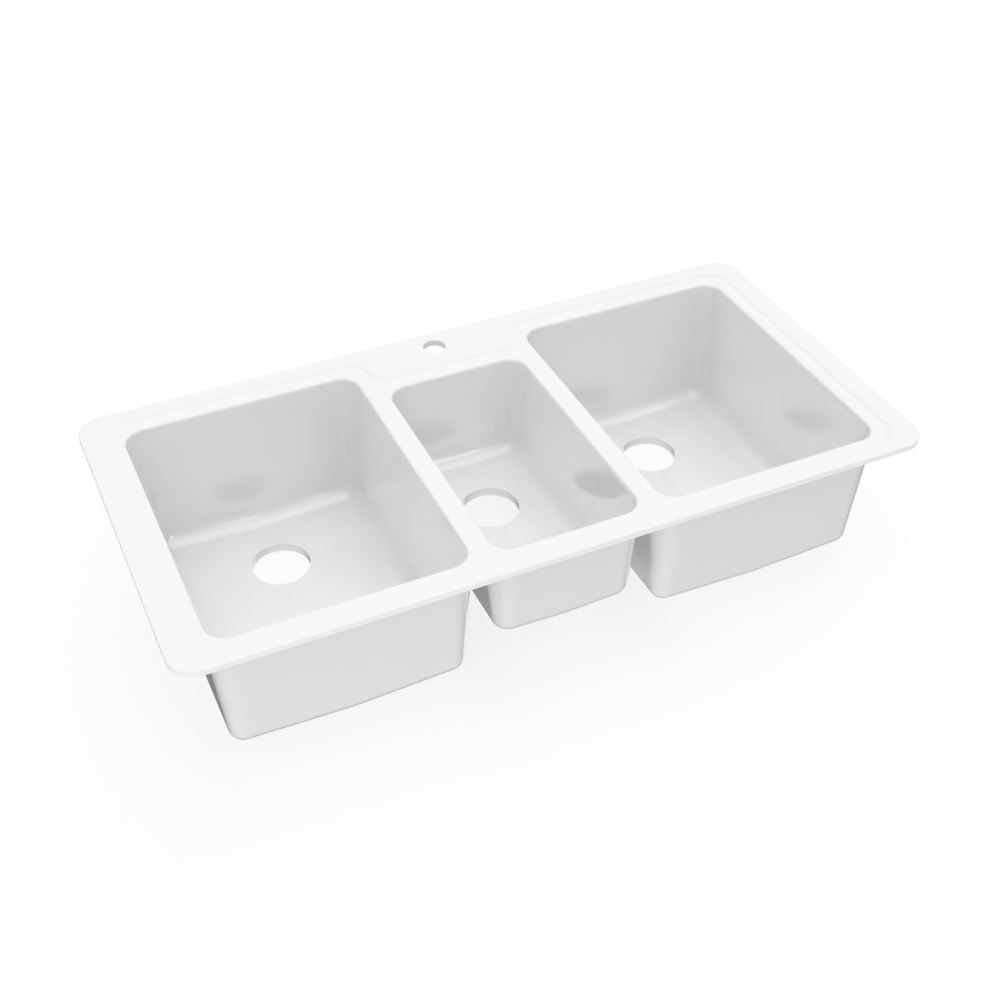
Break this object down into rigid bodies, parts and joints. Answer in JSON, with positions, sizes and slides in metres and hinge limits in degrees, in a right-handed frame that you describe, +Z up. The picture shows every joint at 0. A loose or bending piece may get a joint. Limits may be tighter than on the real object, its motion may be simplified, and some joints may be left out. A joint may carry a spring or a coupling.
{
  "type": "three compartment sink",
  "caption": "White drop-in kitchen sink: stepped rim with a raised tap ledge, two large bowls with a shallower bowl between them, round drain holes, hold-down clamps under the rim.",
  "frame": {"origin": "under the middle of the rim, level with the underside of the large bowls' drain bosses", "axes": "+X along the rim to the right as seen from the front, +Y to the back where the tap stands, +Z up"},
  "size_m": [1.1176, 0.5588, 0.2335],
  "materials": {
    "deck_surface": "satin",
    "bowl_surface": "gloss",
    "seam_adhesive": "satin",
    "seal": "matte",
    "brass": "satin",
    "steel": "satin"
  },
  "bodies": {
    "sink": {"deck": "deck_surface", "left_bowl": "bowl_surface", "middle_bowl": "bowl_surface", "right_bowl": "bowl_surface", "left_bowl_seam": "seam_adhesive", "middle_bowl_seam": "seam_adhesive", "right_bowl_seam": "seam_adhesive", "rim_seal": "seal", "clamp_inserts": "brass", "clamp_studs": "steel", "clamp_washers": "steel", "clamp_wing_nuts": "brass"},
    "arm_1": {"clamp_arm_1": "steel"},
    "arm_2": {"clamp_arm_2": "steel"},
    "arm_3": {"clamp_arm_3": "steel"},
    "arm_4": {"clamp_arm_4": "steel"},
    "arm_5": {"clamp_arm_5": "steel"},
    "arm_6": {"clamp_arm_6": "steel"}
  },
  "joints": [
    {"name": "arm_1_swing", "type": "hinge", "parent": "sink", "child": "arm_1", "pos_m": [-0.531, -0.15, 0.19], "axis": [0, 0, 1], "range_deg": [0, 180]},
    {"name": "arm_2_swing", "type": "hinge", "parent": "sink", "child": "arm_2", "pos_m": [-0.531, 0.15, 0.19], "axis": [0, 0, 1], "range_deg": [0, 180]},
    {"name": "arm_3_swing", "type": "hinge", "parent": "sink", "child": "arm_3", "pos_m": [-0.3225, 0.255, 0.19], "axis": [0, 0, 1], "range_deg": [0, 180]},
    {"name": "arm_4_swing", "type": "hinge", "parent": "sink", "child": "arm_4", "pos_m": [0.3225, 0.255, 0.19], "axis": [0, 0, -1], "range_deg": [0, 180]},
    {"name": "arm_5_swing", "type": "hinge", "parent": "sink", "child": "arm_5", "pos_m": [0.531, 0.15, 0.19], "axis": [0, 0, -1], "range_deg": [0, 180]},
    {"name": "arm_6_swing", "type": "hinge", "parent": "sink", "child": "arm_6", "pos_m": [0.531, -0.15, 0.19], "axis": [0, 0, -1], "range_deg": [0, 180]}
  ]
}
